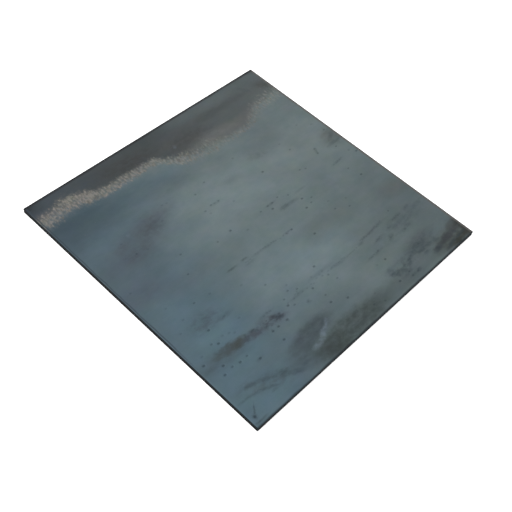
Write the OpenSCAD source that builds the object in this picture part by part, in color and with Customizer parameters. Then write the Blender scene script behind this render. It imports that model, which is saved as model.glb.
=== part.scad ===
// Square plate of hot-rolled mild steel, cut to size on a guillotine shear.
//
// It lies flat with +Z up. The origin is the middle of the underside, +X is
// the direction the plate was rolled in, and +Y runs across it.
//
// Each cut edge has the section that a shear leaves: a soft roll-over where
// the blade entered at the top, an upright burnished land below it, then the
// torn part, which leans in slightly down to the underside.

/* [Plate] */
// Side along the rolling direction
plate_length = 300; // [120:1:1000]
// Side across the rolling direction
plate_width = 300; // [120:1:1000]
// Rolled thickness
plate_thickness = 5; // [3:0.1:12]

/* [Sheared edges] */
// Radius of the roll-over along the top of each cut edge
rollover_r = 0.4; // [0.2:0.05:0.8]
// Height of the upright burnished land under the roll-over
land_height = 1.4; // [0.4:0.1:1.8]
// How far the torn part leans in by the underside
tear_lean = 0.1; // [0.05:0.05:0.5]
// Radius of the plate's four upright corners
corner_r = 0.5; // [0.4:0.1:5]

/* [Hidden] */
$fn = 48;
// Height at which the land gives way to the torn part
tear_top = plate_thickness - rollover_r - land_height;

// Section of the plate across a pair of cut edges, centred on X, with the
// underside on Y = 0
module sheared_section(width) {
    half = width / 2;
    intersection() {
        polygon([
            [-half + tear_lean, 0],
            [half - tear_lean, 0],
            [half, tear_top],
            [half, plate_thickness],
            [-half, plate_thickness],
            [-half, tear_top]
        ]);
        rolled_top(width);
    }
}

// Upright rectangle whose two top corners are rounded to the roll-over
module rolled_top(width) {
    centre_x = width / 2 - rollover_r;
    centre_y = plate_thickness - rollover_r;
    union() {
        translate([-width / 2, 0]) square([width, centre_y]);
        translate([-centre_x, 0]) square([2 * centre_x, plate_thickness]);
        for (side = [-1, 1])
            translate([side * centre_x, centre_y]) circle(r = rollover_r);
    }
}

// Section drawn across Y, run out along X for the plate's length
module edges_along_x() {
    translate([-plate_length / 2, 0, 0])
        rotate([90, 0, 90])
            linear_extrude(height = plate_length) sheared_section(plate_width);
}

// Section drawn across X, run out along Y for the plate's width
module edges_along_y() {
    translate([0, plate_width / 2, 0])
        rotate([90, 0, 0])
            linear_extrude(height = plate_width) sheared_section(plate_length);
}

// Outline of the plate from above, with its slightly blunted corners
module outline() {
    union() {
        square([plate_length - 2 * corner_r, plate_width], center = true);
        square([plate_length, plate_width - 2 * corner_r], center = true);
        for (x = [-1, 1], y = [-1, 1])
            translate([x * (plate_length / 2 - corner_r), y * (plate_width / 2 - corner_r)])
                circle(r = corner_r);
    }
}

module steel_plate() {
    color([0.40, 0.46, 0.48])
        intersection() {
            edges_along_x();
            edges_along_y();
            linear_extrude(height = plate_thickness) outline();
        }
}

steel_plate();
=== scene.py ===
# %% [markdown]
# # A square plate of hot-rolled steel
# The real thing is one flat piece of stock. It was rolled hot, which gave it a
# blue-grey skin of mill scale, and then cut on a shear, which gave it four dark
# edges. So the whole lesson is one mesh and three finishes: the scaled upper
# face with its worn band, stains and pits, the plainer underside, and the cut
# edges.
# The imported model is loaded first. It fixes where the plate is and how large.

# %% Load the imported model
import math
import random

import bmesh
import bpy
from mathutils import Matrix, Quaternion, Vector, kdtree


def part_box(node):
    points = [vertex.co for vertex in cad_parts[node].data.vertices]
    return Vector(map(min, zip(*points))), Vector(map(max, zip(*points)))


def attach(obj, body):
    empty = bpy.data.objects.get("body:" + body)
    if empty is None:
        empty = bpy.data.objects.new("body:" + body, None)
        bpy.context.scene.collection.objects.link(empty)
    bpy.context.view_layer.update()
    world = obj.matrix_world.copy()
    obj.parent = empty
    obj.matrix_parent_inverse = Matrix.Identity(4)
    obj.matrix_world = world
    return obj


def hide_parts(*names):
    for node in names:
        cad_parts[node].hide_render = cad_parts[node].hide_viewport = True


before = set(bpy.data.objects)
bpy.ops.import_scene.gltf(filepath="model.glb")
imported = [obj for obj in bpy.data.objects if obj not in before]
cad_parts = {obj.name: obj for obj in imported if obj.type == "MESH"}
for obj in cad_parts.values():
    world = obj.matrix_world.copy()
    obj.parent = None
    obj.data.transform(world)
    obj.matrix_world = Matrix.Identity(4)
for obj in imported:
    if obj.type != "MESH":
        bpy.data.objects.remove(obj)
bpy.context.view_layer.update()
low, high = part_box("steel_plate")
MM = 0.001
half_x = (high.x - low.x) / 2
half_y = (high.y - low.y) / 2
top = high.z
print("plate, mm:", [round(side / MM, 2) for side in (high - low)])

# %% [markdown]
# ## Helpers for modelling
# Everything is modelled as by hand: an operator works on what is selected, so
# each step picks its faces, edges or points by place and then calls one
# operator. One small helper does the picking, and another counts triangles.
# Everything is deselected first, because the loaded model is left selected.

# %% Pick by place
bpy.ops.object.select_all(action="DESELECT")


def pick(kind, wanted):
    """In edit mode, selects only the points, edges or faces that pass the test."""
    modes = {"verts": "VERT", "edges": "EDGE", "faces": "FACE"}
    bpy.ops.mesh.select_mode(type=modes[kind])
    bpy.ops.mesh.select_all(action="DESELECT")
    mesh = bmesh.from_edit_mesh(bpy.context.edit_object.data)
    picked = [part for part in getattr(mesh, kind) if wanted(part)]
    for part in picked:
        part.select_set(True)
    mesh.select_flush_mode()
    bmesh.update_edit_mesh(bpy.context.edit_object.data)
    return len(picked)


def count_triangles(piece):
    return sum(len(face.vertices) - 2 for face in piece.data.polygons)


# %% [markdown]
# ## The plate
# A cube scaled flat would have the outline, but no points inside its face to
# dent. So the plate starts as a grid, the flat of the upper face, with cells of
# 2.5 mm. Its rim is then pulled out and down, ring by ring, round the section
# that a shear leaves: a soft roll-over at the top, an upright burnished land,
# and below it the torn part, which leans in a little.

# %% Lay the flat of the upper face
ROLLOVER = 0.4 * MM
LAND = 1.4 * MM
TEAR_LEAN = 0.1 * MM
CORNER = 0.5 * MM
CELL = 2.5 * MM

cells_x = round(2 * (half_x - ROLLOVER) / CELL)
cells_y = round(2 * (half_y - ROLLOVER) / CELL)
bpy.ops.mesh.primitive_grid_add(x_subdivisions=cells_x, y_subdivisions=cells_y, size=1)
plate = bpy.context.object
plate.name = "cut_plate"
bpy.ops.object.mode_set(mode="EDIT")
bpy.ops.transform.resize(value=(2 * (half_x - ROLLOVER), 2 * (half_y - ROLLOVER), 1))
bpy.ops.transform.translate(value=(0, 0, top))
print("cells along and across:", cells_x, cells_y)

# %% Work out the rings of the sheared section
ROLL_STEPS = 4
TORN_STEPS = 3
torn_height = top - low.z - ROLLOVER - LAND
rings = []
for step in range(1, ROLL_STEPS + 1):
    angle = math.radians(90) * step / ROLL_STEPS
    rings.append((ROLLOVER * (1 - math.sin(angle)), ROLLOVER * (1 - math.cos(angle))))
rings.append((0, ROLLOVER + LAND))
for step in range(1, TORN_STEPS + 1):
    share = step / TORN_STEPS
    rings.append((TEAR_LEAN * share, ROLLOVER + LAND + torn_height * share))
print("rings, inset and drop in mm:", [(round(i / MM, 2), round(d / MM, 2)) for i, d in rings])

# %% Pull the rim round the section and close the underside
bpy.ops.mesh.select_mode(type="EDGE")
bpy.ops.mesh.select_all(action="DESELECT")
bpy.ops.mesh.select_non_manifold()
inset_before, drop_before = ROLLOVER, 0
for inset, drop in rings:
    bpy.ops.mesh.extrude_region_move(
        TRANSFORM_OT_translate={"value": (0, 0, drop_before - drop)}
    )
    wider = (
        (half_x - inset) / (half_x - inset_before),
        (half_y - inset) / (half_y - inset_before),
        1,
    )
    bpy.ops.transform.resize(value=wider, center_override=(0, 0, 0))
    inset_before, drop_before = inset, drop
bpy.ops.mesh.fill_grid(span=cells_x)
bpy.ops.mesh.select_all(action="SELECT")
bpy.ops.mesh.normals_make_consistent(inside=False)
mesh_now = bmesh.from_edit_mesh(plate.data)
print("faces:", len(mesh_now.faces), "open edges:", sum(e.is_boundary for e in mesh_now.edges))
bpy.ops.object.mode_set(mode="OBJECT")

# %% [markdown]
# ## Corners and torn edges
# A shear leaves a corner that is crisp but not a knife, so the four upright
# corner lines get a small bevel. Below the land the steel tore, and that part
# is slightly rough. Its points are first drawn in a little and then moved at
# random along their normals, with a fixed seed and by no more than they were
# drawn in, so that nothing grows past the plate.

# %% Blunt the corners
CORNER_STEPS = 3
REACH = 0.01 * MM


def on_corner_line(edge):
    """An edge that runs down a corner of the rim, from the flat to the underside."""
    for vert in edge.verts:
        if abs((half_x - abs(vert.co.x)) - (half_y - abs(vert.co.y))) > REACH:
            return False
        if half_x - abs(vert.co.x) > ROLLOVER + REACH:
            return False
    return edge.verts[0].co.z != edge.verts[1].co.z


bpy.ops.object.mode_set(mode="EDIT")
found = pick("edges", on_corner_line)
bpy.ops.mesh.bevel(offset=CORNER, segments=CORNER_STEPS, affect="EDGES", clamp_overlap=False)
print("corner edges bevelled:", found)
proud = pick("verts", lambda vert: vert.co.z > top)
if proud:
    bpy.ops.transform.resize(value=(1, 1, 0), center_override=(0, 0, top))
print("points levelled with the flat:", proud)

# %% Roughen the torn part
TEAR_DEPTH = 0.05 * MM
tear_top = top - ROLLOVER - LAND


def in_torn_part(vert):
    """A point of the torn face, between the land and the underside."""
    return REACH < vert.co.z - low.z < tear_top - low.z - REACH


found = pick("verts", in_torn_part)
drawn_in = ((half_x - TEAR_DEPTH) / half_x, (half_y - TEAR_DEPTH) / half_y, 1)
bpy.ops.transform.resize(value=drawn_in, center_override=(0, 0, 0))
bpy.ops.transform.vertex_random(offset=TEAR_DEPTH, uniform=0.0, normal=1.0, seed=4)
print("torn points moved:", found)

# %% [markdown]
# ## Pits
# Where scale was rolled into the hot steel and fell out again, it left pits of
# 1 to 3 mm. Some stand alone and some lie in trails along the rolling
# direction. A pit could be painted on, but then it would catch no light, so each
# one is a real dent. The grid is made finer round the pits only. Then the
# two points at the middle of each pit are pushed down, with proportional
# editing, so that the points round them follow in a smooth oval bowl.

# %% Say where the pits are, in millimetres from the middle of the plate
DEEP_PITS = [
    (-144, -141), (-135, -98), (-130, -91), (-118, -73), (-142, -80), (-117, -98),
    (-25, 6), (24, -2), (55, -12), (50, -23), (19, -31), (32, -49), (0, -117),
    (124, -30), (50, -138), (-46, -87), (-15, -110), (59, -113), (145, -6),
    (-16, -89.5), (3, -74), (-115, -58), (-74, -108), (51, 37),
]
MIDDLE_PITS = [
    (-125, -97), (-123, -70), (-105, -30), (-88, -4), (-43, 4), (-78, 16), (13, 3),
    (23, 3.5), (29, 3.3), (38, 5), (48, 0), (58, -21), (63, -17), (70, -42), (83, -49),
    (94, 40), (81, 14.5), (87, 12), (114, 24), (112, 18), (142, 36), (-26, 38),
    (-17, 40), (-8, 39), (-19, 59), (-2, 65), (-41, -90), (6, -89), (9, -97),
    (-13, -102), (12, -138), (-75, -96), (-68, -96), (-57, -96), (-35, -76),
    (120, -16), (23, -142), (64, -142), (72, -142), (-45, -58), (107, -78), (65, -137),
    (-107, 43), (134, 12), (-109, -97.5), (-102, -107), (-27, -80), (-44, -80),
]
SHALLOW_PITS = [
    (-137, -73), (-124, -36), (-103, -107), (-87, -67), (-61, -44), (-52, 70),
    (-13, 39), (-12, -4), (3, 29), (13, -32), (41, 69), (72, -31), (88, -40),
    (91, 52), (125, 59), (138, 50), (140, 0), (-31, -71), (-8, -80), (-30, -96),
    (1, -86), (91, -92), (83, -100), (102, -103), (62, -102), (97, -123),
    (-100, -75), (-110, -70), (-104, -72), (-95, -57), (-127, -18), (-139, 14),
    (22, -131), (-88, -32), (-135, -45), (-64, 56), (-96, 40), (-110, 60), (-47, 69),
    (-24, 33), (-30, -84), (-70, -80), (-62, -80), (-84, -90), (48, -112),
]
print("single pits:", len(DEEP_PITS) + len(MIDDLE_PITS) + len(SHALLOW_PITS))

# %% Add the trails that run along the rolling direction
# Each trail: first and last X, Y at each end, number of pits, scatter in Y
TRAILS = [
    (-59, -50, -26, -26, 5, 0.5),
    (-41, -36, -25.5, -25, 3, 0.3),
    (-42, -34, -30, -29, 4, 0.5),
    (-28, 0, -28, -30, 9, 0.5),
    (2, 16, -31, -31, 4, 0.5),
    (14, 33, -85.5, -86, 9, 0.5),
    (33, 49, -87, -86.5, 7, 0.4),
    (58, 92, -84, -81.5, 17, 0.9),
    (67, 77, -94.5, -93, 5, 0.5),
    (100, 113, -88, -87.5, 6, 0.7),
    (112, 127, -3, -2, 5, 0.5),
    (46, 63, -103, -103, 6, 0.6),
    (-97, -81, -85, -85, 13, 2.6),
    (-79, -56, -87, -90, 28, 3.6),
    (-45, 20, -83, -85, 14, 2.5),
]
TRAIL_SEED = 11
draw = random.Random(TRAIL_SEED)
trail_pits = []
for first_x, last_x, first_y, last_y, number, scatter in TRAILS:
    for place in range(number):
        share = (place + draw.uniform(0.2, 0.8)) / number
        along = first_x + (last_x - first_x) * share
        across = first_y + (last_y - first_y) * share + draw.uniform(-scatter, scatter)
        trail_pits.append((along, across))
print("pits in trails:", len(trail_pits))

# %% Make the grid finer round the pits
# Each kind of pit: places, radius and depth, both in millimetres
PITS = [
    (DEEP_PITS, 1.9, 0.28),
    (MIDDLE_PITS, 1.7, 0.20),
    (trail_pits, 1.4, 0.13),
    (SHALLOW_PITS, 2.0, 0.13),
]
# How near a pit the grid is made finer, and by how many cuts
REFINE = [(3.6 * MM, 1), (2.4 * MM, 2)]
middles = [Vector((x * MM, y * MM, top)) for places, _, _ in PITS for x, y in places]
pit_tree = kdtree.KDTree(len(middles))
for index, middle in enumerate(middles):
    pit_tree.insert(middle, index)
pit_tree.balance()


def on_flat_near_pit(distance):
    """A test for faces of the upper flat whose middle is that close to a pit."""

    def test(face):
        middle = face.calc_center_median()
        return face.normal.z > 0.9 and top - middle.z < REACH and pit_tree.find(middle)[2] < distance

    return test


for distance, cuts in REFINE:
    pick("faces", on_flat_near_pit(distance))
    bpy.ops.mesh.subdivide(number_cuts=cuts)
mesh_now = bmesh.from_edit_mesh(plate.data)
print("faces after refining:", len(mesh_now.faces))

# %% Push the pits in
LONGER = 0.4 * MM

for places, radius, depth in PITS:
    mesh_now = bmesh.from_edit_mesh(plate.data)
    mesh_now.verts.ensure_lookup_table()
    tree = kdtree.KDTree(len(mesh_now.verts))
    for vert in mesh_now.verts:
        tree.insert(vert.co, vert.index)
    tree.balance()
    nearest = set()
    for x, y in places:
        for shift in (-LONGER, LONGER):
            nearest.add(tree.find((x * MM + shift, y * MM, top))[1])
    pick("verts", lambda vert: vert.index in nearest)
    bpy.ops.transform.translate(
        value=(0, 0, -depth * MM),
        use_proportional_edit=True,
        proportional_edit_falloff="SMOOTH",
        proportional_size=radius * MM,
    )
    print("pits:", len(places), "points pushed in:", len(nearest), "depth, mm:", depth)

# %% Smooth the bowls and the roll-over, but keep the cut edges crisp
SMOOTH_BELOW = math.radians(35)
bpy.ops.object.mode_set(mode="OBJECT")
bpy.ops.object.shade_smooth_by_angle(angle=SMOOTH_BELOW)
print("triangles:", count_triangles(plate), "modifiers left:", len(plate.modifiers))

# %% [markdown]
# ## Writing a finish as sums
# A finish is a graph of nodes, and a graph is hard to read in code. So one small
# class wraps a socket and lets it stand in a Python sum, where each operator
# adds its Math node. One method adds every other kind of node: it takes the
# node's type, its settings, and the values or links of its sockets.

# %% A wire that can stand in a sum
class Wire:
    """The output of a node, which can be added, subtracted, multiplied and divided."""

    def __init__(self, recipe, socket):
        self.recipe = recipe
        self.socket = socket

    def __add__(self, other):
        return self.recipe.maths("ADD", self, other)

    __radd__ = __add__

    def __sub__(self, other):
        return self.recipe.maths("SUBTRACT", self, other)

    def __rsub__(self, other):
        return self.recipe.maths("SUBTRACT", other, self)

    def __mul__(self, other):
        return self.recipe.maths("MULTIPLY", self, other)

    __rmul__ = __mul__

    def __truediv__(self, other):
        return self.recipe.maths("DIVIDE", self, other)


# %% The recipe that a wire belongs to
class Recipe:
    """The nodes of one material."""

    def __init__(self, name):
        self.material = bpy.data.materials.new(name)
        self.material.use_nodes = True
        self.tree = self.material.node_tree
        self.tree.nodes.clear()

    def node(self, kind, settings=None, inputs=None, output=0):
        made = self.tree.nodes.new(kind)
        for name, value in (settings or {}).items():
            if name == "stops":
                self.set_stops(made.color_ramp.elements, value)
            else:
                setattr(made, name, value)
        for key, value in (inputs or {}).items():
            if isinstance(value, Wire):
                self.tree.links.new(value.socket, made.inputs[key])
            else:
                made.inputs[key].default_value = value
        return Wire(self, made.outputs[output]) if made.outputs else None

    def set_stops(self, elements, stops):
        while len(elements) < len(stops):
            elements.new(1.0)
        for element, (position, colour) in zip(elements, stops):
            element.position = position
            element.color = (*colour, 1)

    def maths(self, operation, *values):
        return self.node("ShaderNodeMath", {"operation": operation}, dict(enumerate(values)))

    def smooth(self, value, start, end):
        """0 where the value is at start, 1 where it is at end, with a soft step between."""
        inputs = {"Value": value, "From Min": start, "From Max": end}
        return self.node("ShaderNodeMapRange", {"interpolation_type": "SMOOTHSTEP"}, inputs)

    def mix(self, below, above, share):
        """One colour laid over another."""
        return self.node("ShaderNodeMix", {"data_type": "RGBA"}, {0: share, 6: below, 7: above}, 2)

    def split(self, value):
        """The three numbers that a colour or a vector holds."""
        kind = "ShaderNodeSeparateXYZ"
        return [self.node(kind, inputs={"Vector": value}, output=axis) for axis in "XYZ"]

    def vector(self, operation, first, second, output=0):
        inputs = {0: first, ("Scale" if operation == "SCALE" else 1): second}
        return self.node("ShaderNodeVectorMath", {"operation": operation}, inputs, output)

    def noise(self, where, stretch, detail=2.0, output="Fac"):
        """Noise whose blots are about as long and wide as stretch, in millimetres."""
        squeeze = tuple(1 / length for length in stretch)
        inputs = {
            "Vector": self.vector("MULTIPLY", where, squeeze),
            "Scale": 1.0,
            "Detail": detail,
            "Roughness": 0.6,
        }
        return self.node("ShaderNodeTexNoise", {"noise_dimensions": "3D"}, inputs, output)

    def patch(self, where, spot):
        """1 in the middle of a soft oval patch and 0 outside it."""
        x, y, long, wide, turn, soft = spot
        reach = 1 + soft
        inputs = {
            "Vector": where,
            "Location": (x, y, 0),
            "Rotation": (0, 0, math.radians(turn)),
            "Scale": (long * reach, wide * reach, 1000),
        }
        oval = self.node("ShaderNodeMapping", {"vector_type": "TEXTURE"}, inputs)
        ball = self.node("ShaderNodeTexGradient", {"gradient_type": "SPHERICAL"}, {"Vector": oval}, "Fac")
        return self.smooth(ball, 0, 2 * soft / reach)

    def patches(self, where, spots):
        """Several patches as one mask, which is as strong as its strongest patch."""
        total = 0.0
        for *spot, strength in spots:
            total = self.maths("MAXIMUM", total, self.patch(where, spot) * strength)
        return total

    def lay(self, colour, where, tones, mottle=1.0):
        """Lays soft ovals over a colour, one after the other, each thinned by the mottle."""
        for tone, *spot, strength in tones:
            share = self.patch(where, spot) * strength * mottle
            colour = self.mix(colour, tone, share)
        return colour


# %% Swatches
# What the studio light does to a base colour: times LIGHT, plus SHEEN
LIGHT = 1.35
SHEEN = 0.02


def paint(red, green, blue):
    """The base colour that looks like this swatch, 0 to 255, under the studio light."""

    def linear(level):
        share = level / 255
        seen = share / 12.92 if share <= 0.04045 else ((share + 0.055) / 1.055) ** 2.4
        return max((seen - SHEEN) / LIGHT, 0)

    return (linear(red), linear(green), linear(blue), 1)


# %% [markdown]
# ## Mill scale: broad tones
# Mill scale is never one grey. This face is bluer and darker towards the left and greyer and paler
# round the middle, in broad soft clouds that are drawn out along the rolling direction.
# An even noise would scatter the clouds anywhere, so the large ones are listed
# as soft ovals, one over the other, and noise only frays and streaks them.

# %% Broad tones, from the lowest layer to the highest
# Colour, then X, Y, half length, half width, turn, softness and strength
BELOW_BAND = [
    (paint(86, 107, 117), -140, -92, 62, 75, 0, 0.5, 0.9),
    (paint(98, 110, 112), 110, -75, 75, 60, 0, 0.6, 0.8),
    (paint(90, 101, 104), 140, -85, 38, 40, 0, 0.7, 0.7),
    (paint(114, 127, 130), 15, 38, 75, 27, 0, 0.8, 0.9),
    (paint(112, 123, 124), 115, 36, 52, 26, 0, 0.7, 0.8),
    (paint(109, 125, 130), -8, -62, 48, 28, 0, 0.8, 0.9),
    (paint(101, 113, 115), 62, 80, 62, 12, 0, 0.8, 0.8),
    (paint(99, 110, 113), 78, 64, 26, 11, 0, 0.8, 0.7),
    (paint(84, 100, 107), -48, 95, 48, 13, -3, 0.8, 0.8),
    (paint(69, 84, 91), -136, 102, 66, 21, -3, 0.7, 0.95),
    (paint(80, 93, 101), -130, 34, 40, 22, 8, 0.8, 0.7),
    (paint(98, 109, 110), 62, -46, 42, 11, 0, 0.8, 0.7),
    (paint(101, 114, 118), -5, -8, 60, 8, 0, 0.8, 0.6),
    (paint(94, 110, 117), -48, -88, 36, 12, 0, 0.8, 0.7),
    (paint(78, 93, 101), -148, 20, 14, 110, 0, 0.8, 0.55),
    (paint(92, 108, 114), -56, 36, 24, 12, 0, 0.8, 0.5),
    (paint(88, 102, 107), -22, -116, 34, 13, 0, 0.8, 0.75),
    (paint(66, 80, 89), -146, 94, 16, 14, 0, 0.8, 0.7),
    (paint(95, 105, 107), 142, 88, 14, 11, 0, 0.8, 0.5),
    (paint(86, 101, 107), -88, -112, 18, 10, 0, 0.8, 0.5),
    (paint(116, 131, 135), 10, -71, 28, 9, -10, 0.8, 0.7),
    (paint(80, 91, 93), 50, -142, 64, 9, 0, 0.8, 0.7),
    (paint(62, 77, 86), -134, 109, 30, 8, 0, 0.8, 0.6),
]
print("broad tones:", len(BELOW_BAND))

# %% Tones above the band
# The same eight numbers: this zone is greyer, and dark where the scale is thick
ABOVE_BAND = [
    (paint(66, 74, 80), -128, 141, 44, 11, 0, 0.7, 0.9),
    (paint(55, 61, 67), -147, 144, 10, 7, 0, 0.8, 0.8),
    (paint(40, 44, 48), -149, 149, 6, 5, 0, 0.8, 0.9),
    (paint(64, 68, 70), 148, 149, 8, 5, 0, 0.8, 0.8),
    (paint(70, 74, 75), -48, 133, 58, 15, -3, 0.7, 0.9),
    (paint(82, 88, 90), 60, 119, 55, 14, -3, 0.7, 0.9),
    (paint(78, 80, 80), 22, 117, 26, 11, -8, 0.8, 0.8),
    (paint(76, 80, 81), 50, 129.5, 62, 5, -3, 0.8, 0.5),
    (paint(74, 80, 81), 86, 128.5, 26, 4, 0, 0.8, 0.5),
    (paint(89, 98, 100), 100, 143, 58, 7, 0, 0.8, 0.8),
    (paint(94, 95, 93), 60, 103, 34, 8, 0, 0.8, 0.6),
    (paint(84, 91, 91), 90, 116, 20, 8, 0, 0.8, 0.6),
    (paint(78, 86, 89), 120, 132, 8, 2.5, -52, 0.8, 0.6),
    (paint(74, 78, 78), 143, 124, 9, 5, -35, 0.8, 0.8),
    (paint(101, 104, 104), 92, 101, 24, 7, 6, 0.8, 0.6),
    (paint(104, 108, 108), 46, 103, 24, 7, -3, 0.8, 0.65),
]
print("tones above the band:", len(ABOVE_BAND))

# %% [markdown]
# ## Mill scale: stains and streaks
# Oil, water and the rollers leave stains: a reddish smear and a brown streak on
# the left, a charcoal blotch and streaks along the near edge, and a few pale
# wipes. They are soft ovals too, smaller and darker ones. The same fraying makes
# them ragged, so that none looks like an oval in the end.

# %% Stains, from the lowest layer to the highest
# Colour, then X, Y, half length, half width, turn, softness and strength
STAINS = [
    (paint(78, 89, 99), -134, 6, 26, 10, 0, 0.8, 0.75),
    (paint(88, 101, 106), -30, 82, 26, 9, 0, 0.8, 0.5),
    (paint(83, 93, 102), -100, -8, 28, 9, 0, 0.8, 0.4),
    (paint(90, 101, 106), 22, 50, 9, 4, 0, 0.8, 0.3),
    (paint(72, 85, 93), -122, -86, 28, 7, -2, 0.8, 0.6),
    (paint(70, 80, 83), -114, -83, 17, 4.8, -3, 0.4, 0.9),
    (paint(63, 68, 66), -104, -84.5, 8, 3.4, -4, 0.6, 0.6),
    (paint(70, 79, 85), -51, -119, 24, 8.5, 6, 0.5, 0.85),
    (paint(72, 83, 88), -68, -130, 18, 11, 0, 0.8, 0.8),
    (paint(69, 78, 78), -20, -140, 44, 13, 1, 0.45, 0.9),
    (paint(62, 69, 69), -47, -142, 15, 8, 0, 0.8, 0.8),
    (paint(80, 87, 91), 98, -124, 20, 9, 8, 0.8, 0.6),
    (paint(74, 79, 78), 132, -139, 27, 10, 4, 0.6, 0.9),
    (paint(66, 70, 74), 124, -136.5, 18, 3.2, 6, 0.6, 0.95),
    (paint(72, 76, 76), 142, -130, 10, 5, 20, 0.7, 0.7),
    (paint(58, 62, 59), 134, -145.5, 18, 3.5, 4, 0.7, 0.9),
    (paint(54, 55, 52), 148, -140, 4, 12, 0, 0.7, 0.8),
    (paint(58, 60, 58), 148, -148, 7, 4, 0, 0.8, 0.8),
    (paint(88, 94, 94), 142, 25, 13, 10, 20, 0.8, 0.75),
    (paint(95, 96, 96), 135, -62, 16, 8, 0, 0.8, 0.4),
    (paint(76, 84, 92), -100, 46, 34, 12, 8, 0.8, 0.56),
    (paint(76, 83, 90), -74, 63, 28, 9, 3, 0.8, 0.56),
]
print("stains:", len(STAINS))

# %% Stains that are made of small blots, in the same eight numbers
BLOTTED = [
    (paint(74, 79, 86), -82, 52, 16, 7, 20, 0.8, 0.4),
    (paint(72, 77, 85), -109, 42, 13, 6, 0, 0.8, 0.5),
    (paint(70, 75, 82), -77, 59, 10, 4, 10, 0.8, 0.4),
    (paint(76, 83, 91), -112, 56, 9, 4, 20, 0.8, 0.5),
    (paint(74, 86, 96), -111, -50, 16, 8, 0, 0.8, 0.7),
    (paint(66, 76, 84), -91, -86.8, 11, 3, -2, 0.6, 0.85),
    (paint(74, 82, 90), -80, -87, 14, 5, 0, 0.8, 0.7),
    (paint(65, 69, 76), -63, -88.5, 9, 4.5, -14, 0.8, 0.75),
    (paint(70, 79, 84), 98, -124, 18, 8, 8, 0.8, 0.5),
    (paint(76, 84, 88), 62, -131, 18, 8, 10, 0.8, 0.6),
    (paint(66, 71, 75), 106, -140, 5, 3, 20, 0.6, 0.7),
    (paint(74, 84, 89), -112, -127, 30, 7, -18, 0.8, 0.45),
    (paint(82, 93, 96), 108, -96, 40, 8, 8, 0.8, 0.5),
    (paint(88, 100, 103), 62, 56, 9, 4, -20, 0.8, 0.5),
    (paint(66, 73, 79), -95, 136, 24, 7, 0, 0.8, 0.7),
    (paint(64, 66, 66), -42, 130, 30, 8, -4, 0.8, 0.7),
    (paint(70, 73, 73), 22, 118, 26, 9, -6, 0.8, 0.6),
]
print("blotted stains:", len(BLOTTED))

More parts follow.
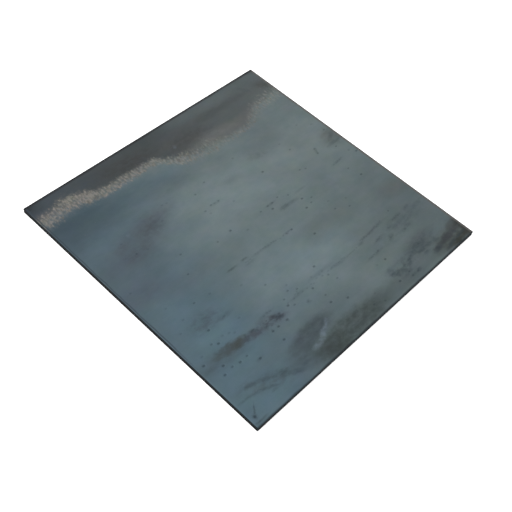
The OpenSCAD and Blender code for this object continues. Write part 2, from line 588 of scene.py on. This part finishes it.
# %% Short dark streaks, all in one colour
# X, Y, half length, half width, turn, softness and strength
DARK_STREAKS = [
    (-127, -118.5, 7, 1.8, -12, 0.8, 0.8), (-114, -123.5, 5, 1.8, -22, 0.8, 0.6),
    (-104, -126.5, 5, 1.8, -8, 0.8, 0.7), (-98, -128.5, 7, 2.2, -12, 0.8, 0.9),
    (-138, -125.5, 9, 1.1, -5, 0.8, 0.5), (-128, -127, 8, 1.3, -8, 0.8, 0.6),
    (-118, -130, 7, 1.4, -20, 0.8, 0.7), (-112, -133, 4, 1.2, -20, 0.8, 0.6),
    (-96, -132.5, 8, 2.4, -20, 0.8, 0.6), (-87, -136.5, 7, 2.2, -22, 0.8, 0.9),
    (-78, -136, 4, 1.5, 5, 0.8, 0.6), (-114, -135, 3, 1.2, 0, 0.8, 0.5),
    (-97, -88, 2.2, 1.4, 10, 0.8, 0.7), (-87.5, -83.5, 2.0, 1.3, 20, 0.8, 0.8),
    (-85, -86, 1.8, 1.2, -10, 0.8, 0.9), (-76.5, -89.5, 1.8, 1.3, 0, 0.8, 0.9),
    (-75, -95.5, 1.6, 1.2, 0, 0.8, 0.7), (-64.5, -86.5, 2.0, 1.5, 30, 0.8, 0.5),
    (-60.5, -88.5, 2.6, 1.7, 15, 0.8, 0.8), (-58, -91, 1.6, 1.2, 0, 0.8, 0.7),
    (-57.5, -96.5, 1.7, 1.2, -20, 0.8, 0.8), (-66, -80, 2.2, 1.3, 15, 0.8, 0.8),
    (-68, -96, 1.6, 1.2, 0, 0.8, 0.6), (-29, -96, 1.9, 1.5, 0, 0.8, 0.7),
    (-140, -136, 5, 0.8, 47, 0.8, 0.9), (-144, -141, 2.2, 2.2, 30, 0.8, 1.0),
    (-143, -146.5, 7, 1.2, 0, 0.8, 0.9), (-95, -57, 7, 2.0, 0, 0.8, 0.5),
    (-103, -107, 4, 1.6, 4, 0.8, 0.5), (-140, -87, 7, 2.0, 0, 0.8, 0.4),
    (36, -8, 6, 1.9, 2, 0.8, 0.65), (46, -8.5, 7, 1.8, 0, 0.8, 0.5),
    (62, -3, 6, 1.4, 0, 0.8, 0.4), (119, -2.5, 8, 1.4, 3, 0.8, 0.4),
    (75, -83, 18, 1.6, 3, 0.8, 0.5), (56, -86, 4, 1.4, 5, 0.8, 0.5),
    (72, -94, 7, 1.4, 9, 0.8, 0.45), (106, -87.5, 8, 1.8, 2, 0.8, 0.4),
    (124, -86.5, 4, 1.5, 15, 0.8, 0.5), (104, -94, 10, 1.8, 3, 0.8, 0.5),
    (91, -92, 4, 2.5, 20, 0.8, 0.4), (120, -95, 8, 1.8, 15, 0.8, 0.4),
    (58, -103, 11, 1.5, 2, 0.8, 0.4), (84, -100, 4, 1.8, 12, 0.8, 0.5),
    (105, -102.5, 8, 1.8, 10, 0.8, 0.4), (135, -91, 8, 2.0, 10, 0.8, 0.4),
    (52, -124, 6, 2.2, 5, 0.8, 0.6), (53, -129.5, 5, 2.4, -5, 0.8, 0.9),
    (58, -134, 6, 1.8, 0, 0.8, 0.5), (65, -131, 6, 1.6, 8, 0.8, 0.5),
    (63, -137.5, 5, 1.6, 5, 0.8, 0.5), (76, -129, 5, 1.8, 33, 0.8, 0.8),
    (97, -123.5, 6, 1.8, 3, 0.8, 0.4), (95, -129.5, 5, 1.5, 0, 0.8, 0.7),
    (104, -129.8, 5, 1.6, 0, 0.8, 0.8), (95, -134.5, 4, 1.8, 5, 0.8, 0.6),
    (65, -142, 4, 1.6, 0, 0.8, 0.6), (73, -142, 3.5, 1.8, 10, 0.8, 0.7),
    (86, -124, 5, 1.6, 20, 0.8, 0.4), (107, -139.5, 5, 1.6, 10, 0.8, 0.7),
    (114, -131, 4, 3.0, -35, 0.8, 0.6), (137, -138.5, 5, 1.6, -50, 0.8, 0.7),
    (122, -144, 8, 1.5, 15, 0.8, 0.8), (138, -142.5, 9, 1.3, 6, 0.8, 0.9),
    (0, -82, 14, 1.6, 0, 0.8, 0.3), (138, 18, 9, 1.8, 5, 0.8, 0.6),
    (144, 28, 6, 2.0, 30, 0.8, 0.4), (-39, -26, 4, 1.2, 0, 0.8, 0.6),
    (-37, -32, 5, 1.2, 0, 0.8, 0.4), (-55, -26, 6, 1.2, 0, 0.8, 0.5),
    (-15, -29.5, 14, 1.1, -2, 0.8, 0.4), (27, 3.5, 6, 1.2, 0, 0.8, 0.5),
    (113, 21, 4, 1.6, 65, 0.8, 0.5), (-32, -85, 10, 1.4, 0, 0.8, 0.4),
    (-68, -80, 8, 1.6, 0, 0.8, 0.4), (12, -30.5, 6, 0.9, 0, 0.8, 0.4),
    (-12, 39, 6, 1.6, 0, 0.8, 0.3), (22, -87, 8, 1.1, -4, 0.8, 0.4),
]
print("dark streaks:", len(DARK_STREAKS))

# %% Pale wipes and nicks, in the same seven numbers
PALE_MARKS = [
    (-57, -131.5, 5, 2.6, 5, 0.6, 0.8), (-50, -130.5, 4, 2.4, 12, 0.6, 0.8),
    (-45, -127, 4.5, 2.5, 42, 0.6, 0.9), (-40, -124.5, 4, 2.0, 25, 0.6, 0.85),
    (-35, -121, 5, 1.6, 42, 0.7, 0.8), (8, 117.5, 2.2, 1.6, 60, 0.7, 0.5),
    (96.5, -8, 22, 1.1, -80, 0.8, 0.25), (-99, 63, 2.5, 1.6, 60, 0.7, 0.3),
    (112, 57, 15, 4, 4, 0.8, 0.2), (3, 29, 6, 1.5, 0, 0.8, 0.15),
]
print("pale marks:", len(PALE_MARKS))

# %% [markdown]
# ## Mill scale: the worn band
# Along the far side, rolling left a pale band where the scale has flaked down to
# brighter steel. It wanders, its width changes, and it fades to the right, so it
# is written as places along the plate, and one colour ramp carries three numbers
# for each place: how far up, how wide and how strong. The flecks and the small
# teeth along its sides come from noise that is stretched across the rolling.

# %% The line of the band
# X, then the middle's Y, the half width and the strength
BAND = [
    (-150, 123.6, 9.2, 0.68), (-133, 124.6, 8.8, 0.7), (-118, 128.2, 9.6, 0.72),
    (-110, 127.2, 9.6, 0.78), (-100, 123.4, 8.8, 0.86), (-92, 121.5, 8, 0.88),
    (-86, 118.6, 6.2, 0.74), (-75, 117.2, 5.8, 0.72), (-57, 116.9, 5.8, 0.7),
    (-33, 116.4, 5.5, 0.72), (-18, 115.2, 5.0, 0.8), (-11, 108, 6, 0.74), (0, 101.4, 8.5, 0.7),
    (12, 97.4, 8.8, 0.62), (25, 95.6, 8.5, 0.52), (38, 95.5, 10.5, 0.56), (48, 93, 7.0, 0.4),
    (60, 90.5, 4.5, 0.5), (80, 90.5, 4.5, 0.52), (90, 92, 5.5, 0.5), (100, 97.6, 8.0, 0.56),
    (110, 104.4, 8.5, 0.5), (128, 106.5, 9.5, 0.54), (150, 109, 9.5, 0.5),
]
BAND_LOWEST = 80
BAND_REACH = 60
BAND_WIDEST = 12
LENGTH = 2 * half_x / MM
band_stops = []
for x, middle, half_width, strength in BAND:
    numbers = ((middle - BAND_LOWEST) / BAND_REACH, half_width / BAND_WIDEST, strength)
    band_stops.append((x / LENGTH + 0.5, numbers))
print("places along the band:", len(band_stops))

# %% [markdown]
# ## Mill scale: putting the layers together
# The layers go on in the order in which they came to the real plate: scale,
# then stains, then the worn band, then the marks. Every soft oval is read at a
# place that noise has shifted a little, which is what frays it. The pits need no
# list here: a pit is simply where the surface lies below the flat, so its
# colour comes from the height: deeper is darker, partly for the dark oxide in
# the pit and partly as painted shade in the hollow. Last come the fine streaks
# and grain, which also make the bump and the change in roughness.

# %% Shifted places, and how strongly the grain shows
# FAR is a noise stretch so long that the noise doesn't change in that direction
FAR = 1000
CLOUDY = 0.50
STREAKY = 0.10
SPECKLED = 0.04
TINTED = (0.22, 0.14, 0.22)
ROLLED_BUMP = 0.012


def wander(recipe, where, amount, blot):
    """The same place, shifted by noise by up to about a quarter of amount, in millimetres."""
    drift = recipe.noise(where, blot, output="Color")
    centred = recipe.vector("SUBTRACT", drift, (0.5, 0.5, 0.5))
    return recipe.vector("ADD", where, recipe.vector("MULTIPLY", centred, amount))


def in_millimetres(recipe):
    """Object coordinates in millimetres."""
    place = recipe.node("ShaderNodeTexCoord", output="Object")
    return recipe.vector("SCALE", place, 1 / MM)


# %% Grain that every rolled face has
def grain(recipe, where):
    """The cover that shades and tints a colour, how rough it is, and its height."""
    clouds = recipe.noise(where, (38, 26, FAR), detail=5.0, output="Color")
    tints = recipe.noise(where, (19, 13, 400), detail=4.0, output="Color")
    streaks = recipe.noise(where, (42, 4.5, FAR), detail=3.0)
    specks = recipe.noise(where, (0.9, 0.7, FAR), detail=2.0)
    lightness = recipe.split(clouds)[0]
    shade = (lightness - 0.5) * CLOUDY + (streaks - 0.5) * STREAKY + (specks - 0.5) * SPECKLED + 1.0
    tint = recipe.vector("MULTIPLY", recipe.vector("SUBTRACT", tints, (0.5, 0.5, 0.5)), TINTED)
    tint = recipe.vector("ADD", tint, (1.0, 1.0, 1.0))
    roughness = (lightness - 0.5) * 0.16 + (specks - 0.5) * 0.14
    return recipe.vector("SCALE", tint, shade), roughness, (streaks + specks) * ROLLED_BUMP


def finish(recipe, colour, roughness, height, metallic, specular):
    """The shader itself, with a bump whose height is in millimetres."""
    bump = recipe.node("ShaderNodeBump", {}, {"Distance": MM, "Height": height})
    inputs = {
        "Base Color": colour,
        "Metallic": metallic,
        "Roughness": roughness,
        "Specular IOR Level": specular,
        "Normal": bump,
    }
    shader = recipe.node("ShaderNodeBsdfPrincipled", {}, inputs)
    recipe.node("ShaderNodeOutputMaterial", {}, {"Surface": shader})
    return recipe.material


# %% The rims of the upper face
# The dark line's distance from the left side, and how strongly each rim covers
LEFT_LINE_PLACE = 1.7
LEFT_LINE_COVERS = 0.75
WORN_RIM_COVERS = 0.85
NEAR_EDGE_SHADE_COVERS = 0.7
FAR_EDGE_SHADE_COVERS = 0.8


def rims(recipe, colour, where):
    """A dark line just inside the left side, a worn rim along the right, and painted shade in a band
    along the near and far edges, where the plate turns down.
    """
    uneven = wander(recipe, where, (1.8, 1.8, 0), (14, 14, FAR))
    along, across, _ = recipe.split(uneven)
    from_left, from_right = along + half_x / MM, half_x / MM - along
    from_near, from_far = across + half_y / MM, half_y / MM - across
    left_line = recipe.smooth(recipe.maths("ABSOLUTE", from_left - LEFT_LINE_PLACE), 1.1, 0.2)
    left_line = left_line * recipe.smooth(across, -100, -40)
    worn = recipe.smooth(from_right, 3.8, 1.6)
    # Painted shade: the flat darkens in a band along the near and far edges, where the plate turns down
    near = recipe.smooth(from_near, 2.0, 0.3)
    far = recipe.smooth(from_far, 4.2, 1.2)
    colour = recipe.mix(colour, paint(55, 66, 74), left_line * LEFT_LINE_COVERS)
    colour = recipe.mix(colour, paint(99, 97, 95), worn * WORN_RIM_COVERS)
    # Painted shade along the near and far edges
    colour = recipe.mix(colour, paint(40, 46, 50), near * NEAR_EDGE_SHADE_COVERS)
    return recipe.mix(colour, paint(34, 37, 41), far * FAR_EDGE_SHADE_COVERS)


# %% Tones and stains of the upper face
# Where along the plate, in millimetres, each change starts and ends
BLUE_TO_GREY = (-115, 0)
DARK_TO_GREY = (-30, 80)


def scale_tones(recipe, places, mottle, blots):
    """The colour below the band and the one above it, with the stains of each."""
    where, frayed, ragged = places
    along = recipe.split(where)[0]
    below = recipe.mix(paint(84, 101, 110), paint(105, 118, 120), recipe.smooth(along, *BLUE_TO_GREY))
    below = recipe.lay(below, frayed, BELOW_BAND)
    below = recipe.lay(below, ragged, STAINS, mottle)
    below = recipe.lay(below, ragged, [spot for spot in BLOTTED if spot[2] < BAND_LOWEST], blots)
    above = recipe.mix(paint(69, 76, 79), paint(86, 93, 94), recipe.smooth(along, *DARK_TO_GREY))
    above = recipe.lay(above, ragged, ABOVE_BAND, mottle)
    above = recipe.lay(above, ragged, [spot for spot in BLOTTED if spot[2] > BAND_LOWEST], blots)
    return below, above


# %% The worn band, and how far above its line each spot lies
# The dark zone starts round the line, and the band is warmer at the left
DARK_FROM = (-4.0, 7.0)
WARM_TO_GREY = (-80, 0)
BAND_COVERS = 0.87
HOLES_COVERED = 0.55


def worn_band(recipe, where, near):
    """How strongly the band covers each spot, its flecks, its colour and the line's distance."""
    along, across, _ = recipe.split(near)
    ramp = recipe.node("ShaderNodeValToRGB", {"stops": band_stops}, {"Fac": along / LENGTH + 0.5})
    line, half_width, strength = recipe.split(ramp)
    above_line = across - (line * BAND_REACH + BAND_LOWEST)
    teeth = recipe.noise(where, (3.0, 5.0, FAR))
    flecks = recipe.noise(where, (2.7, 4.6, FAR), detail=1.2)
    from_middle = recipe.maths("ABSOLUTE", above_line) / (half_width * BAND_WIDEST)
    inside = recipe.smooth(from_middle + (teeth - 0.5) * 1.5, 1.5, 0.45)
    cutoff = 0.87 - inside * strength * 0.69
    band = recipe.smooth(flecks - cutoff, -0.19, 0.25)
    band = recipe.maths("MAXIMUM", band, inside * strength * HOLES_COVERED)
    pale = recipe.smooth(recipe.noise(where, (2.3, 5.2, FAR), detail=1.2), 0.30, 0.64)
    warmth = recipe.smooth(recipe.split(where)[0], *WARM_TO_GREY)
    worn = recipe.mix(paint(136, 132, 126), paint(127, 129, 125), warmth)
    worn = recipe.mix(paint(103, 102, 97), worn, pale)
    return band, flecks, worn, above_line


# %% The upper face
# How strongly each kind of mark covers, and how deep a pit is where it is darkest
METALLIC = 0.3
SPECULAR = 0.3
SCALE_ROUGHNESS = 0.46
STREAK_COVERS = 0.58
WIPE_COVERS = 0.62
PIT_COVERS = 0.45
PIT_DARK_AT = 0.27
FLAKED_BUMP = 0.04


def mill_scale():
    recipe = Recipe("mill_scale")
    where = in_millimetres(recipe)
    loose = wander(recipe, where, (24, 12, 0), (30, 14, FAR))
    frayed = wander(recipe, loose, (9, 6, 0), (6, 4, FAR))
    ragged = wander(recipe, where, (9, 5, 0), (7, 4, FAR))
    near = wander(recipe, where, (4, 2.4, 0), (4, 2.4, FAR))
    mottle = recipe.noise(where, (8, 5, FAR), detail=4.0) * 1.5 + 0.2
    blots = recipe.smooth(recipe.noise(where, (6.6, 4.6, FAR)), 0.34, 0.66) * 0.8 + 0.38
    cover, roughness, height = grain(recipe, where)

    below, above = scale_tones(recipe, (where, frayed, ragged), mottle, blots)
    band, flecks, worn, above_line = worn_band(recipe, where, near)
    colour = recipe.mix(below, above, recipe.smooth(above_line, *DARK_FROM))
    colour = recipe.mix(colour, worn, band * BAND_COVERS)

    marks = recipe.patches(near, DARK_STREAKS) * (blots * 0.6 + 0.45)
    wipes = recipe.patches(near, PALE_MARKS) * blots
    # Pits darken with depth, partly for the dark oxide in them and partly as painted shade in the hollow
    pit_oxide_and_shade = recipe.smooth(top / MM - recipe.split(where)[2], 0.0, PIT_DARK_AT)
    colour = recipe.mix(colour, paint(55, 66, 72), marks * STREAK_COVERS)
    colour = recipe.mix(colour, paint(110, 123, 135), wipes * WIPE_COVERS)
    colour = recipe.mix(colour, paint(46, 55, 62), pit_oxide_and_shade * PIT_COVERS)
    colour = recipe.vector("MULTIPLY", colour, cover)
    colour = rims(recipe, colour, where)

    roughness = roughness + band * 0.14 + pit_oxide_and_shade * 0.2 + SCALE_ROUGHNESS
    height = height - band * flecks * FLAKED_BUMP
    return finish(recipe, colour, roughness, height, METALLIC, SPECULAR)


# %% [markdown]
# ## Underside and cut edges
# The underside is the same rolled scale without the marks that the upper face
# picked up, so it gets the same grain over quieter clouds, and a few thin brown
# stains where damp got under the plate. The cut edges are another matter. The
# blade left the land smooth with fine upright lines, and the steel below it tore
# and has darkened, so the two are told apart by height.

# %% The underside
UNDER_ROUGHNESS = 0.5
DAMP_COVERS = 0.35


def mill_scale_underside():
    recipe = Recipe("mill_scale_underside")
    where = in_millimetres(recipe)
    frayed = wander(recipe, where, (30, 16, 0), (24, 12, FAR))
    cover, roughness, height = grain(recipe, where)
    drift = recipe.smooth(recipe.noise(frayed, (95, 50, FAR), detail=2.0), 0.38, 0.62)
    colour = recipe.mix(paint(84, 99, 106), paint(103, 114, 116), drift)
    damp = recipe.smooth(recipe.noise(frayed, (60, 26, FAR), detail=4.0), 0.60, 0.72)
    colour = recipe.mix(colour, paint(96, 88, 78), damp * DAMP_COVERS)
    colour = recipe.vector("MULTIPLY", colour, cover)
    roughness = roughness + damp * 0.1 + UNDER_ROUGHNESS
    return finish(recipe, colour, roughness, height, METALLIC, SPECULAR)


# %% The cut edges
# Base colours, far darker than any swatch of the faces
EDGE_METALLIC = 0.0
EDGE_SPECULAR = 0.01
TORN_STEEL = (0.008, 0.010, 0.011, 1)
LAND_STEEL = (0.011, 0.014, 0.016, 1)
BROWNED_STEEL = (0.018, 0.013, 0.010, 1)
ROLLED_STEEL = (0.020, 0.027, 0.031, 1)


def sheared_edge():
    recipe = Recipe("sheared_edge")
    where = in_millimetres(recipe)
    _, _, up = recipe.split(where)
    blade_lines = recipe.noise(where, (0.5, 0.5, 9.0), detail=2.0)
    torn_grain = recipe.noise(where, (1.6, 1.6, 0.7), detail=4.0)
    edge_clouds = recipe.noise(where, (14, 14, 4), detail=2.0)
    land_foot = tear_top / MM
    ragged = up + (torn_grain - 0.5) * 1.2
    land = recipe.smooth(ragged, land_foot - 0.2, land_foot + 0.2)
    rolled = recipe.smooth(up, (top - 0.8 * ROLLOVER) / MM, (top - 0.1 * ROLLOVER) / MM)
    colour = recipe.mix(TORN_STEEL, LAND_STEEL, land)
    colour = recipe.mix(colour, BROWNED_STEEL, recipe.smooth(edge_clouds, 0.5, 0.66) * 0.4)
    colour = recipe.mix(colour, ROLLED_STEEL, rolled * 0.8)
    shade = (blade_lines - 0.5) * 0.5 + (torn_grain - 0.5) * 0.5 + 1.0
    colour = recipe.vector("SCALE", colour, shade)
    roughness = 0.66 - land * 0.16 + (torn_grain - 0.5) * 0.2
    height = blade_lines * 0.02 * land + torn_grain * 0.12 * (1.0 - land)
    return finish(recipe, colour, roughness, height, EDGE_METALLIC, EDGE_SPECULAR)


finishes = [mill_scale(), mill_scale_underside(), sheared_edge()]
for made in finishes:
    print(made.name, "nodes:", len(made.node_tree.nodes))

# %% [markdown]
# ## Giving each face its finish
# One mesh can wear several finishes, one for each of its material slots. In edit
# mode the faces are picked by place and then assigned: all of it is upper face
# at first, then the faces that look down, then whatever lies outside the flat.

# %% Assign the three finishes
UPPER, UNDER, EDGE = range(3)


def beyond_flat(face):
    """A face of the roll-over, the land or the torn part."""
    middle = face.calc_center_median()
    past_x = abs(middle.x) > half_x - ROLLOVER - REACH
    past_y = abs(middle.y) > half_y - ROLLOVER - REACH
    return (past_x or past_y) and face.normal.z > -0.9


bpy.ops.object.mode_set(mode="EDIT")
for finish_of_slot in finishes:
    plate.data.materials.append(finish_of_slot)
for slot, wanted in ((UNDER, lambda face: face.normal.z < -0.9), (EDGE, beyond_flat)):
    found = pick("faces", wanted)
    plate.active_material_index = slot
    bpy.ops.object.material_slot_assign()
    print(finishes[slot].name, "faces:", found)
bpy.ops.object.mode_set(mode="OBJECT")

# %% [markdown]
# ## A flat map of the surface
# When the finish is baked into a picture, each face needs a place of its own on
# that picture. The upper face is what people look at, so it gets most of it, the
# underside gets a small square beside it, and each cut side gets a strip above
# it. A side is laid out by how far round the sheared section a point lies, which
# gives even the narrow faces of the roll-over a width.

# %% Sizes on the map, where 1 is the whole picture
MARGIN = 0.01
UPPER_SPAN = 0.74
UNDER_SPAN = 0.22
FIRST_STRIP = 0.77
STRIP_STEP = 0.057
STRIP_SPAN = 0.05
section = top - low.z + ROLLOVER


# %% Work out each place on the map
def on_flat_face(place, span):
    """Across a face that is seen from above."""
    return (place.x / half_x / 2 + 0.5) * span, (place.y / half_y / 2 + 0.5) * span


def on_side(place, normal):
    """Along a cut side and up the sheared section, in the strip of that side."""
    if abs(normal.x) > abs(normal.y):
        strip, turn = (0, 1) if normal.x > 0 else (1, -1)
        inset, along = half_x - abs(place.x), place.y / half_y
    else:
        strip, turn = (2, -1) if normal.y > 0 else (3, 1)
        inset, along = half_y - abs(place.y), place.x / half_x
    stretched = along * turn * (1 + inset / half_x)
    climb = (place.z - low.z + inset) / section
    across = MARGIN + UPPER_SPAN * (stretched / 2 + 0.5)
    return across, FIRST_STRIP + STRIP_STEP * strip + STRIP_SPAN * climb


# %% Lay the map
layer = plate.data.uv_layers.new(name="OFBake")
for face in plate.data.polygons:
    for corner in face.loop_indices:
        place = plate.data.vertices[plate.data.loops[corner].vertex_index].co
        if face.material_index == UPPER:
            right, up = on_flat_face(place, UPPER_SPAN)
            layer.data[corner].uv = (MARGIN + right, MARGIN + up)
        elif face.material_index == UNDER:
            right, up = on_flat_face(place, UNDER_SPAN)
            layer.data[corner].uv = (1 - MARGIN - right, MARGIN + up)
        else:
            layer.data[corner].uv = on_side(place, face.normal)
print("corners of faces on the map:", len(layer.data))

# %% [markdown]
# ## Studio
# The plate lies on a plain pale floor under soft light from all round, with one
# large lamp overhead that gives the pits and the edges a little relief. The floor
# is a light table: it glows faintly, so the plate hardly throws a shadow. The
# view looks down over a corner of the plate, tilted slightly.

# %% Floor
FLOOR_SIZE = 8.0
GLOW = 0.5
bpy.ops.mesh.primitive_plane_add(size=FLOOR_SIZE, location=(0, 0, low.z))
floor = bpy.context.object
floor.name = "studio_floor"
floor_recipe = Recipe("studio_floor")
tint = floor_recipe.noise(in_millimetres(floor_recipe), (400, 400, FAR))
pale = floor_recipe.mix((0.90, 0.90, 0.90, 1), (0.94, 0.94, 0.94, 1), tint)
floor_inputs = {
    "Base Color": pale,
    "Roughness": 0.9,
    "Emission Color": (1, 1, 1, 1),
    "Emission Strength": GLOW,
}
floor_shader = floor_recipe.node("ShaderNodeBsdfPrincipled", {}, floor_inputs)
floor_recipe.node("ShaderNodeOutputMaterial", {}, {"Surface": floor_shader})
floor.data.materials.append(floor_recipe.material)

# %% Light
WORLD_STRENGTH = 1.0
LAMP_SIZE = 1.6
LAMP_WATTS = 14.0
LAMP_PLACE = (-0.35, 0.55, 1.5)
world = bpy.data.worlds.new("studio")
world.use_nodes = True
background = world.node_tree.nodes["Background"]
background.inputs["Color"].default_value = (1, 1, 1, 1)
background.inputs["Strength"].default_value = WORLD_STRENGTH
bpy.context.scene.world = world
bpy.ops.object.light_add(type="AREA", location=LAMP_PLACE)
lamp = bpy.context.object
lamp.data.shape = "DISK"
lamp.data.size = LAMP_SIZE
lamp.data.energy = LAMP_WATTS
lamp.rotation_euler = (Vector(LAMP_PLACE)).to_track_quat("Z", "Y").to_euler()
bpy.context.scene.view_settings.view_transform = "Standard"
print("lamp at", LAMP_PLACE)

# %% Camera
# Where it looks on the upper face, from how far, how steeply and in which direction
AIM = Vector((-0.02843, -0.03045, top))
DISTANCE = 0.7715
STEEPNESS = math.radians(52.72)
HEADING = math.radians(36.30)
TILT = math.radians(9.62)
LENS = 59.70
level = Vector((math.cos(HEADING), math.sin(HEADING), 0))
looking = level * math.cos(STEEPNESS) - Vector((0, 0, math.sin(STEEPNESS)))
bpy.ops.object.camera_add(location=AIM - looking * DISTANCE)
camera = bpy.context.object
turn = looking.to_track_quat("-Z", "Y") @ Quaternion((0, 0, 1), TILT)
camera.rotation_euler = turn.to_euler()
camera.data.lens = LENS
camera.data.clip_start = 0.01
bpy.context.scene.camera = camera
print("camera at, mm:", [round(value / MM) for value in camera.location])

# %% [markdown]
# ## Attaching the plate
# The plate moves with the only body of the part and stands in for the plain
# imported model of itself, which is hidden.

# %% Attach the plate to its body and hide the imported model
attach(plate, "root")
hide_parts("steel_plate")
